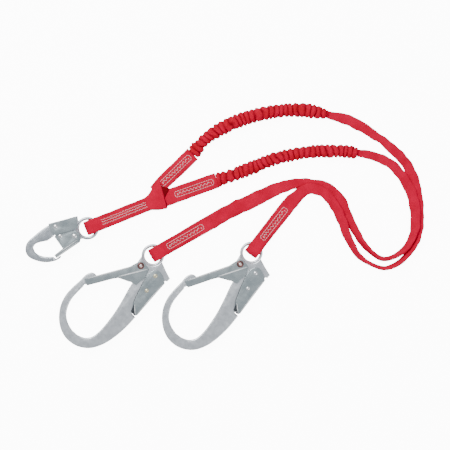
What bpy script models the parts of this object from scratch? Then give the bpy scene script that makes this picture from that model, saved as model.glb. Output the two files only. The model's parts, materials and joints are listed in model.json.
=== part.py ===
"""Shock absorbing lanyard with two legs, laid flat on a surface.

A snap hook holds a main strap, which divides at a sewn Y sleeve into two legs. Each leg is a
sewn lead, a gathered absorber sleeve over its tear core and elastic band, a free run of
webbing, and a sewn loop round the eye of a large rebar hook. Lengths are in millimetres in
this script and become metres where a mesh or curve is made. +X runs from the snap hook to the
far bend of the legs, +Y to the upper leg, and +Z is up from the surface.
"""

import math

import bpy
import bmesh
from mathutils import Vector

NAME = "shock_absorbing_lanyard"
MM = 0.001
GAP = 0.4  # between pieces that meet face to face
END_GAP = 2.4  # at the ends of an absorber sleeve, whose webbing comes in at a slant

# Where the layout's own zero lies from the middle of the fixed pieces
LAYOUT_X, LAYOUT_Y = 0.70706, 2.72243

# Heights
HOOK_MID = 10.6  # the mid-plane of every hook above the surface
STRAP_LOW = 0.4  # the underside of a strap that lies on the surface

# Webbing
WEB_WIDTH = 27.0
WEB_THICK = 4.0
LOOP_WIDTH = 25.0
LAYER = 3.2  # one layer of a sewn loop
LOOP_INNER = 7.0  # half the height inside a loop
FOLD_AT = 6.2  # from an eye's centre to the centre of the strap's fold
LOOP_TOP_END = 18.0  # where the upper layer starts to come down
LOOP_CLOSE = 44.0  # where the two layers meet

# Absorber
SLEEVE_WIDTH, SLEEVE_HEIGHT = 25.5, 18.4
SLEEVE_WALL = 3.2
SLEEVE_MID = 9.6
CORE_WIDTH, CORE_THICK = 14.0, 3.0
BAND_WIDTH, BAND_THICK = 12.0, 1.4
CORE_INSET = 3.0

# Hook eye, the same on all hooks
EYE_HOLE, EYE_RING = 15.0, 20.5
EYE_STEP = 18.5  # where the thick body meets the thinner ring
RING_HALF = 3.5
SWING_AT = 14.4  # from the eye's centre to the axis on which the hook swings in its loop

# Placements: eye centre x, y, direction of the strap, direction of the hook's own axis
SNAP_PLACE = (-187.6, -5.8, 22.0, 22.0)
REBAR_PLACES = {"a": (-69.8, -54.7, 30.0, 49.0), "b": (107.3, -50.2, 52.0, 53.0)}
MAIN_STRAP_LENGTH = 119.0  # from the eye's centre
EYE_LOOP_LENGTH = {"a": 120.0, "b": 108.0}
# The leg whose free run ends in each hook's loop
HOOK_OF_LEG = {"a": "b", "b": "a"}

RED = (0.72, 0.012, 0.05)
CREAM = (0.80, 0.74, 0.58)
ZINC = (0.62, 0.65, 0.68)
ZINC_DARK = (0.50, 0.54, 0.57)
BRASS = (0.62, 0.50, 0.34)
SPRING_STEEL = (0.35, 0.35, 0.36)
STEEL, SHEET, BRASS_LOOK = (ZINC, 0.9, 0.38), (ZINC_DARK, 0.9, 0.42), (BRASS, 0.9, 0.35)

# Routes: x, y, z, roll in degrees (0 flat, 90 on edge) and width of the webbing's middle line.
# The webbing is woven as a tube, so a free run gathers itself narrower than it lies when sewn.
LEADS = {
    "a": [(-50, 78, 5.2, 0, 27), (-25, 102, 6.2, 0, 27), (2, 128, 9.2, 0, 27)],
    "b": [(-41.3, 50.1, 5.2, 0, 27), (2, 65.5, 6.2, 0, 27), (45.5, 80.5, 9.2, 0, 27)],
}
ABSORBERS = {
    "a": [(2, 128), (22, 152), (49, 171), (80, 186), (117, 198), (154, 205), (191, 207),
          (220, 204), (244, 199)],
    "b": [(45.5, 80.5), (70.5, 88.8), (107.5, 102.8), (144.5, 117.6), (181, 126.6),
          (218, 132.4), (245, 133), (276, 132.6), (298, 129)],
}
RUNS = {
    "a": [(244, 199, 9.4, 0, 13), (256, 196, 7, 0, 15), (281, 189, 3.2, 0, 20),
          (312, 174, 2.6, 0, 18), (338, 157, 2.4, 0, 15), (362, 138, 2.4, 0, 18),
          (384, 114, 2.4, 0, 19), (399, 86, 2.4, 0, 19), (407, 55, 2.4, 0, 18),
          (410, 22, 3.4, 10, 18), (409, -11, 6.2, 28, 18), (399, -39, 8.5, 52, 17),
          (377, -65, 9.2, 74, 17), (349, -78, 9.3, 86, 17), (320, -69, 9.3, 98, 17),
          (298, -52, 9, 118, 17), (283, -26, 8, 142, 17), (272, 5, 7.6, 164, 18),
          (259, 31, 7.2, 176, 18), (243, 54, 7.2, 180, 18), (218, 65, 7.2, 180, 19),
          (200, 60, 6.4, 180, 21), (185, 47, 4.6, 180, 25), (174, 35, 3.4, 180, 26.5)],
    "b": [(298, 129, 9.4, 0, 13.5), (316, 127, 8.4, 0, 15), (344, 118, 7.2, 0, 17),
          (364, 107, 7.2, 0, 17.5), (379, 88, 7.2, 0, 18), (392, 66, 7.2, 0, 19),
          (401, 40, 7.4, 4, 19), (403, 11, 8.8, 16, 18), (399, -15, 10.2, 38, 17),
          (386, -41, 9.8, 60, 16), (366, -56, 9.2, 80, 16), (344, -61, 9, 94, 16),
          (325, -50, 8.9, 110, 16), (307, -30, 7.7, 134, 16), (292, -4, 5.2, 158, 16),
          (281, 22, 3.2, 174, 16), (268, 49, 2.6, 180, 16), (246, 68, 2.5, 180, 15.5),
          (220, 75, 2.5, 180, 16), (187, 75, 2.5, 180, 18.5), (147, 62, 2.5, 180, 24.5),
          (106, 43, 2.5, 180, 26.5), (64, 22, 3, 180, 26.5), (34, 5, 3.4, 180, 26.5)],
}
RUN_STEP = 12.0  # between the points of a free run
SLEEVE_STEP = 19.0

# The wedge where the main strap divides: its outline and the pocket between its two layers
Y_SLEEVE = [(-81.3, 50.2), (-76.5, 55.5), (-72, 66), (-66, 75), (-57.5, 85.5), (-40.5, 67.5),
            (-47, 61), (-39, 37), (-46, 28), (-72.2, 27.3)]
Y_POCKET = [(-52, 56), (-30, 62), (-30, 60), (-50, 52)]
Y_TOP = 9.4

# Rebar hook, in millimetres from its eye's centre, with its own axis along +X
R_BODY_HALF = 5.0
R_GATE_PIVOT = (-28.0, 4.0)
R_GATE_DIRECTION = 146.0
R_GATE_INNER, R_GATE_OUTER = 5.4, 6.8
R_LOCK_INNER, R_LOCK_OUTER = 7.3, 8.8
R_LOCK_PIVOT = (-24.5, -27.8)
R_LOCK_PIN = (-54.5, -33.3)
R_PIN_HOLE = ((-54.7, -32.0), 4.2)  # in the body, round the pin's short arc
R_BACK = -49.5

# Snap hook, measured the same way
S_BODY_HALF = 4.5
S_GATE_PIVOT = (-26.4, -4.3)
S_GATE_INNER, S_GATE_OUTER = 4.9, 6.2
S_GATE_PIN = (-50.3, 5.3)
S_LOCK_INNER, S_LOCK_OUTER = 7.9, 9.2
S_LOCK_PIVOT = (-51.2, 24.2)

HOLE_PLAY = 0.35  # round a rivet in a piece that turns on it
TURN_SIDES = 16
SPRING_TURNS = 2


def clear_scene():
    for obj in list(bpy.data.objects):
        bpy.data.objects.remove(obj)


def new_collection(name, guide=False):
    collection = bpy.data.collections.new(name)
    collection.hide_render = guide
    bpy.context.scene.collection.children.link(collection)
    return collection


def new_material(name, colour, metallic, roughness):
    material = bpy.data.materials.new(name)
    material.use_nodes = True
    shader = material.node_tree.nodes["Principled BSDF"]
    shader.inputs["Base Color"].default_value = (*colour, 1)
    shader.inputs["Metallic"].default_value = metallic
    shader.inputs["Roughness"].default_value = roughness
    material.diffuse_color = (*colour, 1)
    return material


clear_scene()
PARTS = new_collection(NAME)
GUIDES = new_collection("guides", guide=True)
LAYOUT = bpy.data.objects.new("layout", None)
LAYOUT.location = (LAYOUT_X * MM, LAYOUT_Y * MM, 0)
PARTS.objects.link(LAYOUT)


def add_part(name, data, look, parent=None, place=(0, 0, 0)):
    """A visible piece, placed in millimetres under its parent."""
    obj = bpy.data.objects.new(name, data)
    data.materials.append(new_material(name, *look))
    obj.parent = parent or LAYOUT
    obj.location = Vector(place) * MM
    PARTS.objects.link(obj)
    return obj


def add_cutter(name, data, parent=None, place=(0, 0, 0)):
    obj = bpy.data.objects.new(name, data)
    obj.parent = parent or LAYOUT
    obj.location = Vector(place) * MM
    obj.hide_render = True
    obj.display_type = "WIRE"
    GUIDES.objects.link(obj)
    return obj


def boolean(obj, cutter, operation):
    modifier = obj.modifiers.new(cutter.name, "BOOLEAN")
    modifier.object = cutter
    modifier.operation = operation


def smooth_route(points, step):
    """Points about a step apart on a Catmull-Rom curve through the route's own points."""
    points = [tuple(p) for p in points]
    ends = [points[0]] + points + [points[-1]]
    found = [points[0]]
    for a, b, c, d in zip(ends, ends[1:], ends[2:], ends[3:]):
        count = max(1, round(math.dist(b[:2], c[:2]) / step))
        for i in range(1, count + 1):
            t = i / count
            found.append(tuple(
                0.5 * (2 * q + (r - p) * t + (2 * p - 5 * q + 4 * r - s) * t * t
                       + (3 * q - p - 3 * r + s) * t ** 3)
                for p, q, r, s in zip(a, b, c, d)))
    return found


def arc(centre, radius, start, end, count):
    """Points on an arc, from the start angle to the end angle in degrees."""
    angles = [math.radians(start + (end - start) * i / count) for i in range(count + 1)]
    return [(centre[0] + radius * math.cos(a), centre[1] + radius * math.sin(a)) for a in angles]


def ring_of(centre, radius, sides=TURN_SIDES):
    return arc(centre, radius, 0, 360 * (1 - 1 / sides), sides - 1)


def shifted(outline, centre):
    return [(x - centre[0], y - centre[1]) for x, y in outline]


def plate_curve(name, outlines, half, bevel=0.0, levels=1):
    """Flat outlines, the first one outside and the rest holes, made thick each way by half."""
    curve = bpy.data.curves.new(name, "CURVE")
    curve.dimensions = "2D"
    curve.fill_mode = "BOTH"
    curve.extrude = (half - bevel) * MM
    curve.bevel_depth = bevel * MM
    curve.bevel_resolution = levels
    curve.offset = -bevel * MM
    for outline in outlines:
        spline = curve.splines.new("POLY")
        spline.use_cyclic_u = True
        spline.points.add(len(outline) - 1)
        for point, (x, y) in zip(spline.points, outline):
            point.co = (x * MM, y * MM, 0, 1)
    return curve


def mesh_of(curve, low=None):
    """The curve's surface as a welded mesh facing out, lifted so that its mid-plane is at low."""
    holder = bpy.data.objects.new(curve.name, curve)
    bpy.context.scene.collection.objects.link(holder)
    bpy.context.view_layer.update()
    graph = bpy.context.evaluated_depsgraph_get()
    mesh = bpy.data.meshes.new_from_object(holder.evaluated_get(graph))
    bpy.data.objects.remove(holder)
    shape = bmesh.new()
    shape.from_mesh(mesh)
    bmesh.ops.remove_doubles(shape, verts=shape.verts, dist=0.00002)
    bmesh.ops.recalc_face_normals(shape, faces=shape.faces)
    if low is not None:
        bmesh.ops.translate(shape, verts=shape.verts, vec=(0, 0, low * MM))
    shape.to_mesh(mesh)
    shape.free()
    return mesh


def plate_mesh(name, outlines, half, middle=0.0, bevel=0.0, levels=1):
    return mesh_of(plate_curve(name, outlines, half, bevel, levels), middle)


def section(name, width, thick, sides):
    """An oval outline that a webbing or sleeve curve is swept along."""
    curve = bpy.data.curves.new(name, "CURVE")
    curve.dimensions = "2D"
    curve.fill_mode = "NONE"
    spline = curve.splines.new("POLY")
    spline.use_cyclic_u = True
    spline.points.add(sides - 1)
    for i, point in enumerate(spline.points):
        angle = -2 * math.pi * (i + 0.5) / sides
        x = math.copysign(abs(math.cos(angle)) ** 0.6, math.cos(angle))
        y = math.copysign(abs(math.sin(angle)) ** 0.6, math.sin(angle))
        point.co = (x * width / 2 * MM, y * thick / 2 * MM, 0, 1)
    return add_cutter(name, curve)


def swept(name, outline, route, look, caps=True):
    """The outline swept along x, y, z, roll and share of the outline's own width."""
    curve = bpy.data.curves.new(name, "CURVE")
    curve.dimensions = "3D"
    curve.twist_mode = "Z_UP"
    curve.bevel_mode = "OBJECT"
    curve.bevel_object = outline
    curve.use_fill_caps = caps
    spline = curve.splines.new("POLY")
    spline.points.add(len(route) - 1)
    for point, (x, y, z, roll, share) in zip(spline.points, route):
        point.co = (x * MM, y * MM, z * MM, 1)
        point.tilt = math.radians(roll)
        point.radius = share
    return add_part(name, curve, look)


def moved_on(start, towards, length):
    """The start moved this length towards the next point."""
    share = length / math.dist(start[:3], towards[:3])
    return tuple(a + (b - a) * share for a, b in zip(start, towards))


def shortened(route, start, end):
    """The route with this much taken off each end."""
    first = moved_on(route[0], route[1], start)
    last = moved_on(route[-1], route[-2], end)
    return [first] + route[1:-1] + [last]


def as_shares(route):
    """A webbing's route, with its width as a share of the full width."""
    return [(x, y, z, roll, width / WEB_WIDTH) for x, y, z, roll, width in route]


# Webbing

def strap_profile(length, far_top):
    """The side view of a sewn loop and its doubled strap: the outline and the hole in it."""
    outer, inner = LOOP_INNER + LAYER, LOOP_INNER
    low = HOOK_MID - outer
    outline = [(length, low), (length, low + far_top), (LOOP_CLOSE + 6, low + far_top)]
    outline += [(LOOP_CLOSE - 4, low + far_top + 1.6), (LOOP_TOP_END + 6, HOOK_MID + outer - 2.6)]
    outline += [(LOOP_TOP_END, HOOK_MID + outer)]
    outline += arc((FOLD_AT, HOOK_MID), outer, 90, 270, 12)
    hole = [(LOOP_CLOSE - 4, low + LAYER), (LOOP_CLOSE - 6, low + LAYER + 1.2)]
    hole += [(LOOP_TOP_END + 5, HOOK_MID + inner - 2.2), (LOOP_TOP_END, HOOK_MID + inner)]
    hole += arc((FOLD_AT, HOOK_MID), inner, 90, 270, 10)
    return outline, hole


def build_strap(name, place, length, width, thick):
    """A looped strap: its side view stood upright along the strap's direction."""
    x, y, direction, _ = place
    curve = plate_curve(name, strap_profile(length, thick), width / 2)
    obj = add_part(name, curve, (RED, 0, 0.8), place=(x, y, 0))
    obj.rotation_euler = (math.radians(90), 0, math.radians(direction))
    return obj


def build_y_sleeve():
    half = (Y_TOP - STRAP_LOW) / 2
    mesh = plate_mesh("y_sleeve", [Y_SLEEVE], half, middle=STRAP_LOW + half, bevel=1.0)
    sleeve = add_part("y_sleeve", mesh, (RED, 0, 0.8))
    pocket = plate_mesh("y_sleeve_pocket", [Y_POCKET], 2.4, middle=STRAP_LOW + half)
    boolean(sleeve, add_cutter("y_sleeve_pocket", pocket), "DIFFERENCE")


def build_leg(leg, sections):
    lead = as_shares(smooth_route(LEADS[leg], 14))
    swept(f"leg_{leg}_lead", sections["web"], shortened(lead, 0, GAP / 2), (RED, 0, 0.8))
    middle = smooth_route([(x, y, SLEEVE_MID, 0, 1) for x, y in ABSORBERS[leg]], SLEEVE_STEP)
    sleeve = swept(f"leg_{leg}_absorber_sleeve", sections["sleeve"],
                   shortened(middle, END_GAP, END_GAP), (RED, 0, 0.85), caps=False)
    wall = sleeve.modifiers.new("wall", "SOLIDIFY")
    wall.thickness = SLEEVE_WALL * MM
    wall.offset = -1
    wall.use_rim = True
    inside = shortened(middle, CORE_INSET, CORE_INSET)
    core = [(x, y, z - 1.6, roll, 1) for x, y, z, roll, _ in inside]
    band = [(x, y, z + 1.4, roll, 1) for x, y, z, roll, _ in inside]
    swept(f"leg_{leg}_absorber_core", sections["core"], core, (CREAM, 0, 0.8))
    swept(f"leg_{leg}_elastic_band", sections["band"], band, (CREAM, 0, 0.6))
    run = as_shares(smooth_route(RUNS[leg], RUN_STEP))
    swept(f"leg_{leg}_webbing", sections["web"], shortened(run, END_GAP, END_GAP), (RED, 0, 0.8))
    hook = HOOK_OF_LEG[leg]
    build_strap(f"leg_{leg}_eye_loop", REBAR_PLACES[hook], EYE_LOOP_LENGTH[hook], LOOP_WIDTH, 6.0)


# Turned and wound pieces

def turned(name, profile, centre, look, frame, closed=False):
    """A rivet or pin: its half profile, from top to bottom at +X, turned about its own axis."""
    mesh = bpy.data.meshes.new(name)
    count = len(profile)
    edges = [(i, (i + 1) % count) for i in range(count if closed else count - 1)]
    mesh.from_pydata([(r * MM, 0, z * MM) for r, z in profile], edges, [])
    obj = add_part(name, mesh, look, frame, (*centre, 0))
    screw = obj.modifiers.new("turn", "SCREW")
    screw.steps = screw.render_steps = 12
    screw.use_merge_vertices = True
    screw.merge_threshold = 0.00001
    return obj


def rivet_profile(shank, head, head_low, head_high):
    """A solid rivet with a low dome on each end."""
    top = [(0, head_high), (head * 0.6, head_high - 0.35), (head, head_low + 0.35)]
    top += [(head, head_low), (shank, head_low)]
    return top + [(r, -z) for r, z in reversed(top)]


def tube_rivet(name, centre, look, frame, shank, bore, head, head_low, head_high):
    """A tubular rivet: a closed ring profile turned round its open bore."""
    top = [(bore, head_high - 0.4), (bore + 0.8, head_high), (head - 0.5, head_high - 0.2)]
    top += [(head, head_low + 0.3), (head - 0.3, head_low), (shank, head_low)]
    loop = top + [(r, -z) for r, z in reversed(top)]
    return turned(name, loop, centre, look, frame, closed=True)


def torsion_spring(name, centre, frame, radius, wire, low, direction, leg):
    """A close-wound spring round a rivet, with a straight leg out of it on its left side."""
    curve = bpy.data.curves.new(name, "CURVE")
    curve.dimensions = "3D"
    curve.bevel_depth = wire / 2 * MM
    curve.bevel_resolution = 1
    curve.use_fill_caps = True
    count = round(SPRING_TURNS * 12)
    route = []
    for i in range(count + 1):
        turn = 2 * math.pi * SPRING_TURNS * (1 - i / count)
        height = low + wire / 2 + (wire + 0.2) * SPRING_TURNS * i / count
        route.append((radius * math.sin(turn), radius * math.cos(turn), height))
    route.append((leg, radius, route[-1][2]))
    spline = curve.splines.new("POLY")
    spline.points.add(len(route) - 1)
    for point, (x, y, z) in zip(spline.points, route):
        point.co = (x * MM, y * MM, z * MM, 1)
    obj = add_part(name, curve, (SPRING_STEEL, 0.9, 0.4), frame, (*centre, 0))
    obj.rotation_euler = (0, 0, math.radians(direction))
    return obj


def hook_frame(name, place):
    """Two empties: one on the axis on which the hook swings, and one at its eye's centre."""
    x, y, strap_direction, hook_direction = place
    turn = math.radians(strap_direction)
    swing = bpy.data.objects.new(f"{name}_swing", None)
    swing.parent = LAYOUT
    swing.location = Vector((x + SWING_AT * math.cos(turn), y + SWING_AT * math.sin(turn),
                             HOOK_MID)) * MM
    swing.rotation_euler = (0, 0, turn)
    frame = bpy.data.objects.new(f"{name}_frame", None)
    frame.parent = swing
    frame.location = (-SWING_AT * MM, 0, 0)
    frame.rotation_euler = (0, 0, math.radians(hook_direction - strap_direction))
    for empty in (swing, frame):
        PARTS.objects.link(empty)
    return frame


def channel(name, outline, holes, slot, heights, centre, frame):
    """A folded sheet piece: a block of the outline, hollowed but for its web, on its pivot."""
    inner, outer = heights
    block = plate_mesh(name, [shifted(o, centre) for o in [outline] + holes], outer)
    obj = add_part(name, block, SHEET, frame, (*centre, 0))
    cut = plate_mesh(f"{name}_slot", [shifted(slot, centre)], inner)
    boolean(obj, add_cutter(f"{name}_slot", cut, frame, (*centre, 0)), "DIFFERENCE")
    return obj


def hook_body(name, outline, half, holes, pockets, look, frame):
    """The forged body: its plate joined with the eye's thinner ring, then drilled and pocketed."""
    body = add_part(name, plate_mesh(name, [outline], half, bevel=1.3), look, frame)
    rings = [ring_of((0, 0), EYE_RING, 48), ring_of((0, 0), EYE_HOLE, 40)]
    ring = plate_mesh(f"{name}_ring", rings, RING_HALF, bevel=1.2)
    boolean(body, add_cutter(f"{name}_ring", ring, frame), "UNION")
    for i, (centre, radius) in enumerate(holes):
        cut = plate_mesh(f"{name}_hole_{i}", [ring_of(centre, radius)], half + 5)
        boolean(body, add_cutter(f"{name}_hole_{i}", cut, frame), "DIFFERENCE")
    for i, (shape, low) in enumerate(pockets):
        cut = plate_mesh(f"{name}_pocket_{i}", [shape], half / 2, low + half / 2)
        boolean(body, add_cutter(f"{name}_pocket_{i}", cut, frame), "DIFFERENCE")
    return body


def spring_pocket(centre, radius, direction, leg_at, reach):
    """A round pocket for a spring, with a straight channel on its left side for the leg."""
    inner = leg_at - 1.6
    shape = arc((0, 0), radius, 90, 360 + math.degrees(math.asin(inner / radius)), 14)
    shape += [(reach, inner), (reach, radius)]
    turn = math.radians(direction)
    return [(centre[0] + x * math.cos(turn) - y * math.sin(turn),
             centre[1] + x * math.sin(turn) + y * math.cos(turn)) for x, y in shape]


# Rebar hook

def along_gate(g, h):
    """A point g along the closed gate from its pivot and h outwards from its middle line."""
    turn = math.radians(R_GATE_DIRECTION)
    return (R_GATE_PIVOT[0] + g * math.cos(turn) + h * math.sin(turn),
            R_GATE_PIVOT[1] + g * math.sin(turn) - h * math.cos(turn))


def rebar_outline():
    """Round the eye, down the back of the spine, round the bow to the nose and back inside."""
    outline = arc((0, 0), EYE_STEP, 128, 282, 10)
    outline += [(1.2, -21), (-5.6, -35.5), (-11.6, -51), (-18.5, -50.4), (-20.5, -46.8)]
    outline += [(-40, -45.3), (-103.4, -40.4), (-104.3, -41.4), (-105, -49.5), (-106.6, -49.4)]
    bow = [(-106.6, -49.4), (-130, -48.5), (-154, -45), (-178, -38), (-198, -26), (-210, -10),
           (-215, 8), (-213.5, 26), (-206, 42), (-193, 56), (-175, 67), (-155, 71.8),
           (-135, 71.3)]
    outline += smooth_route(bow, 12)[1:]
    outline += [along_gate(*p) for p in ((110, 4), (103, 8.6), (96, 11.2), (89, 11.2), (83.5, 7),
                                         (82, 0), (84, -6.4), (108, -6.6), (110, -9.2))]
    inside = [(-151, 59.2), (-168, 55.8), (-183, 47.6), (-192.5, 35), (-197.4, 21)]
    outline += smooth_route([along_gate(110, -9.2)] + inside, 12)[1:]
    outline += smooth_route([(-197.4, 9), (-193, -4), (-182, -13.4), (-164, -17), (-142, -16.8),
                             (-120, -15), (-96, -11), (-72, -6), (-50, -3)], 12)
    outline += [(-37, -1)]
    outline += arc(R_GATE_PIVOT, 9.0, 210, 110, 6)
    return outline


R_GATE = [(104.5, 3.8), (20, 3.8), (7, 7), (-3, 8), (-8.5, 3), (-12.5, -9.8), (-2, -23),
          (9, -27), (17, -31), (26, -23), (38, -14.5), (45, -9.8), (58, -8.8), (102.9, -9)]
R_GATE_SLOT = [(120, 20), (-40, 20), (-40, -50), (43, -50), (43, -7.5), (120, -7.5)]
R_LOCK_SLOT = [(0, R_BACK + 1.5), (0, 0), (-130, 0), (-130, R_BACK + 1.5)]


def lock_outline():
    outline = [(-29.6, -15.7)]
    outline += arc((-26.5, -30.0), 13.0, 78, -35, 8)
    outline += [(-22, -46.5), (-25, R_BACK), (-99, R_BACK), (-102.6, -46.8), (-101.2, -36)]
    outline += [(-91.6, -32.2), (-84.4, -28.8), (-63.5, -22.8), (-46.9, -18.7)]
    return outline


def build_rebar_hook(letter):
    name = f"rebar_hook_{letter}"
    frame = hook_frame(name, REBAR_PLACES[letter])
    gate_spring, lock_spring = (5.4, 1.0, R_GATE_DIRECTION, 9), (4.2, 1.0, 262, 18)
    pockets = [(spring_pocket(R_GATE_PIVOT, 7.0, R_GATE_DIRECTION, 5.4, 16), 1.2),
               (spring_pocket(R_LOCK_PIVOT, 6.0, 262, 4.2, 26), 1.2)]
    holes = [(R_GATE_PIVOT, 4.0 + HOLE_PLAY), (R_LOCK_PIVOT, 2.4 + HOLE_PLAY), R_PIN_HOLE]
    hook_body(f"{name}_body", rebar_outline(), R_BODY_HALF, holes, pockets, STEEL, frame)
    gate = [along_gate(g, h) for g, h in R_GATE]
    slot = [along_gate(g, h) for g, h in R_GATE_SLOT]
    channel(f"{name}_gate", gate, [ring_of(R_GATE_PIVOT, 4.0 + HOLE_PLAY)], slot,
            (R_GATE_INNER, R_GATE_OUTER), R_GATE_PIVOT, frame)
    lock_holes = [ring_of(R_LOCK_PIVOT, 2.4 + HOLE_PLAY), ring_of(R_LOCK_PIN, 2.2 + HOLE_PLAY)]
    channel(f"{name}_lock", lock_outline(), lock_holes, R_LOCK_SLOT,
            (R_LOCK_INNER, R_LOCK_OUTER), R_LOCK_PIVOT, frame)
    tube_rivet(f"{name}_gate_rivet", R_GATE_PIVOT, BRASS_LOOK, frame, 4.0, 2.8, 6.2,
               R_GATE_OUTER + 0.3, 8.6)
    head = (R_LOCK_OUTER + 0.3, HOOK_MID)
    turned(f"{name}_lock_rivet", rivet_profile(2.4, 3.8, *head), R_LOCK_PIVOT, STEEL, frame)
    turned(f"{name}_lock_pin", rivet_profile(2.2, 3.6, *head), R_LOCK_PIN, STEEL, frame)
    radius, wire, direction, leg = gate_spring
    torsion_spring(f"{name}_gate_spring", R_GATE_PIVOT, frame, radius, wire, 1.4, direction, leg)
    radius, wire, direction, leg = lock_spring
    torsion_spring(f"{name}_lock_spring", R_LOCK_PIVOT, frame, radius, wire, 1.4, direction, leg)


# Snap hook

def snap_outline():
    outline = arc((0, 0), EYE_STEP, 232, 118, 8)
    outline += [(-9.6, 18.4), (-14, 21.3), (-62.4, 29.4), (-63.4, 31.2)]
    bow = [(-63.4, 31.2), (-77.3, 28.3), (-94.6, 23), (-107, 18.4), (-115, 11.5), (-119, 1),
           (-117, -8.5), (-110, -17), (-99, -25.5), (-87, -30.8), (-75, -32.8)]
    outline += smooth_route(bow, 7)[1:]
    outline += [(-66, -31.6), (-63, -29.6), (-63.4, -27.8), (-73.4, -30)]
    outline += smooth_route([(-76.4, -24.6), (-90.4, -18.6), (-99.5, -11.5), (-103.8, -4)], 7)
    outline += smooth_route([(-103.8, 4), (-100, 7.6), (-92.6, 9), (-75.2, 6.2)], 7)
    outline += [(-62, 9.4), (-57, 14.5), (-50, 18.5), (-41, 18.5), (-37, 12)]
    outline += arc(S_GATE_PIVOT, 9.0, 150, 285, 8)
    return outline


S_GATE = [(-72.8, -22.6), (-54.5, -17.4), (-60.2, 7.6), (-57, 10), (-44, 11.5), (-31, 7),
          (-21, 3.5), (-16.5, -4), (-18.5, -13), (-22.5, -17.9), (-71.6, -28.6)]
S_GATE_SLOT = [(-85, -30.1), (-5, -12.6), (-5, 40), (-85, 40)]
S_LOCK = [(-61.4, 33.4), (-9.3, 27.2), (-14.2, 7.4), (-27, 6.4), (-44, 8.6), (-57, 9.4),
          (-60.4, 11), (-62.2, 25)]
S_LOCK_SLOT = [(-75, 33.2), (5, 23.8), (5, 0), (-75, 0)]


def build_snap_hook():
    name = "snap_hook"
    frame = hook_frame(name, SNAP_PLACE)
    pockets = [(spring_pocket(S_GATE_PIVOT, 6.4, 204, 4.6, 16), 0.8)]
    holes = [(S_GATE_PIVOT, 2.8 + HOLE_PLAY), (S_LOCK_PIVOT, 2.4 + HOLE_PLAY)]
    hook_body(f"{name}_body", snap_outline(), S_BODY_HALF, holes, pockets, STEEL, frame)
    gate_holes = [ring_of(S_GATE_PIVOT, 2.8 + HOLE_PLAY), ring_of(S_GATE_PIN, 2.0 + HOLE_PLAY)]
    channel(f"{name}_gate", S_GATE, gate_holes, S_GATE_SLOT, (S_GATE_INNER, S_GATE_OUTER),
            S_GATE_PIVOT, frame)
    channel(f"{name}_lock", S_LOCK, [ring_of(S_LOCK_PIVOT, 2.4 + HOLE_PLAY)], S_LOCK_SLOT,
            (S_LOCK_INNER, S_LOCK_OUTER), S_LOCK_PIVOT, frame)
    turned(f"{name}_gate_rivet", rivet_profile(2.8, 4.5, S_GATE_OUTER + 0.3, 7.8),
           S_GATE_PIVOT, STEEL, frame)
    turned(f"{name}_gate_pin", rivet_profile(2.0, 3.4, S_GATE_OUTER + 0.3, 7.5), S_GATE_PIN,
           STEEL, frame)
    turned(f"{name}_lock_rivet", rivet_profile(2.4, 3.8, S_LOCK_OUTER + 0.3, HOOK_MID),
           S_LOCK_PIVOT, STEEL, frame)
    torsion_spring(f"{name}_gate_spring", S_GATE_PIVOT, frame, 4.6, 1.0, 1.0, 204, 9)
    torsion_spring(f"{name}_lock_spring", S_LOCK_PIVOT, frame, 3.4, 0.8, 4.9, -10, 12)


SECTIONS = {
    "web": section("web_section", WEB_WIDTH, WEB_THICK, 8),
    "sleeve": section("sleeve_section", SLEEVE_WIDTH, SLEEVE_HEIGHT, 12),
    "core": section("core_section", CORE_WIDTH, CORE_THICK, 6),
    "band": section("band_section", BAND_WIDTH, BAND_THICK, 6),
}
build_strap("main_strap", SNAP_PLACE, MAIN_STRAP_LENGTH, LOOP_WIDTH, 6.0)
build_y_sleeve()
for leg_letter in "ab":
    build_leg(leg_letter, SECTIONS)
    build_rebar_hook(leg_letter)
build_snap_hook()
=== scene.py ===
"""The looks of the shock absorbing lanyard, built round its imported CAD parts.

Layout numbers are in millimetres and match the part's own; they become metres where a mesh is
made. +X runs from the snap hook to the far bend, +Y to the upper leg and +Z up.
"""

import json
import math

import bpy
import bmesh
from mathutils import Matrix, Vector, noise


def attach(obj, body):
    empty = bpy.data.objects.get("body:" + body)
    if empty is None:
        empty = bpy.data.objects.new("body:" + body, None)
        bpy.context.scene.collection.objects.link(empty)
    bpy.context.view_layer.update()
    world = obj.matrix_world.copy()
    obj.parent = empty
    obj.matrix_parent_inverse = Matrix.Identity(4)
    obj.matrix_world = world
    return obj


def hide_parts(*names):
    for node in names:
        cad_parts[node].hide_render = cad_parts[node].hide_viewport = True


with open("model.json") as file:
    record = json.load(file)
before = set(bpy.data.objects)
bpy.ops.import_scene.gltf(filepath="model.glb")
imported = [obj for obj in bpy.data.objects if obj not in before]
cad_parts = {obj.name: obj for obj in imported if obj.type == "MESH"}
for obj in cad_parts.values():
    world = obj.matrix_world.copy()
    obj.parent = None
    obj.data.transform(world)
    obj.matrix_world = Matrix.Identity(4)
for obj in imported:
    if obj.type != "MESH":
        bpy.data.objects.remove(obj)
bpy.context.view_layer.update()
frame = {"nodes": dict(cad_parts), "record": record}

MM = 0.001
UP = Vector((0, 0, 1))
HOOK_MID = 10.6  # the middle plane of every hook above the floor
SWING_AT = 14.4  # from an eye's centre to the axis on which its hook swings
SNAP_X, SNAP_Y = -187.6, -5.8  # the snap hook's eye in the layout
CAMERA_AT, CAMERA_LENS = (59.94, 0, 2510), 111.1
JOINTS = {joint["name"]: joint for joint in frame["record"]["behaviour"]["joints"]}
MOUNTS = {mount["name"]: mount for mount in frame["record"]["mounts"]}


def eye_of(hook):
    """A hook's eye centre and the direction of its strap, from the hook's swing joint."""
    joint = JOINTS[f"{hook}_swing"]
    along = Vector((joint["axis"][1], -joint["axis"][0], 0)).normalized()
    return Vector(joint["pos_m"]) - along * SWING_AT * MM, along


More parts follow.
